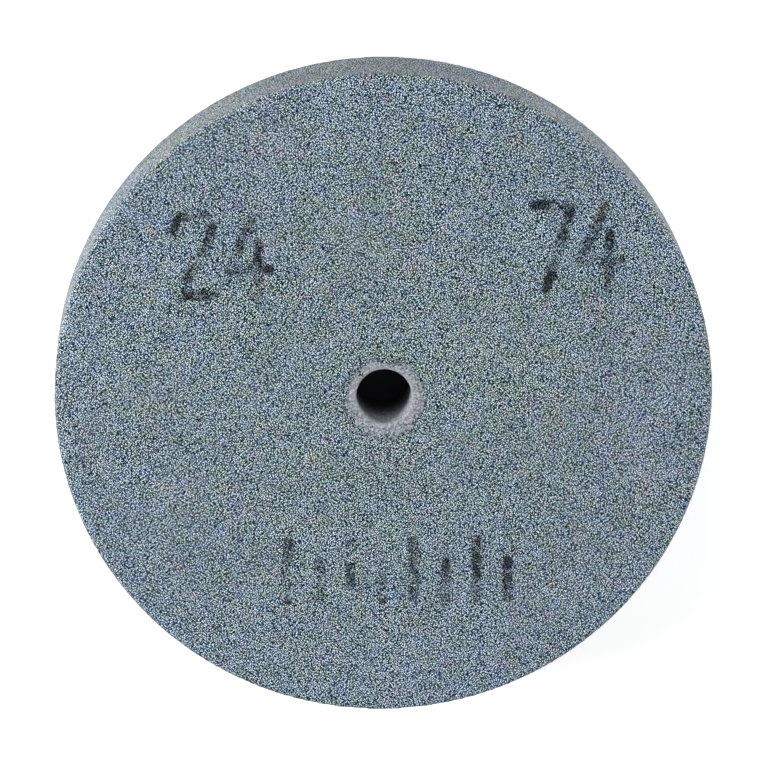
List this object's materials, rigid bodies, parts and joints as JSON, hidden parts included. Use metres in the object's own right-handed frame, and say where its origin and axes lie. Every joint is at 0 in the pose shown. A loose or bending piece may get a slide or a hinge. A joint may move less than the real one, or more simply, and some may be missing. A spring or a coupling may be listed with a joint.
{
  "type": "bench grinding wheel",
  "caption": "Straight bonded-abrasive grinding wheel for a bench grinder: a flat coarse-grit disc with a bush cast into its arbor hole.",
  "frame": {"origin": "centre of the lower side face, on which the wheel lies", "axes": "+Z along the arbor bore, up from the lower side face; +X and +Y in the plane of that face"},
  "size_m": [0.15, 0.15, 0.02],
  "materials": {
    "bonded_abrasive": "coarse blue-grey vitrified grit, matt, with open pores",
    "cast_bush": "smooth pale grey casting, matt"
  },
  "bodies": {
    "root": {"abrasive_wheel": "bonded_abrasive", "arbor_bush": "cast_bush"}
  },
  "joints": []
}
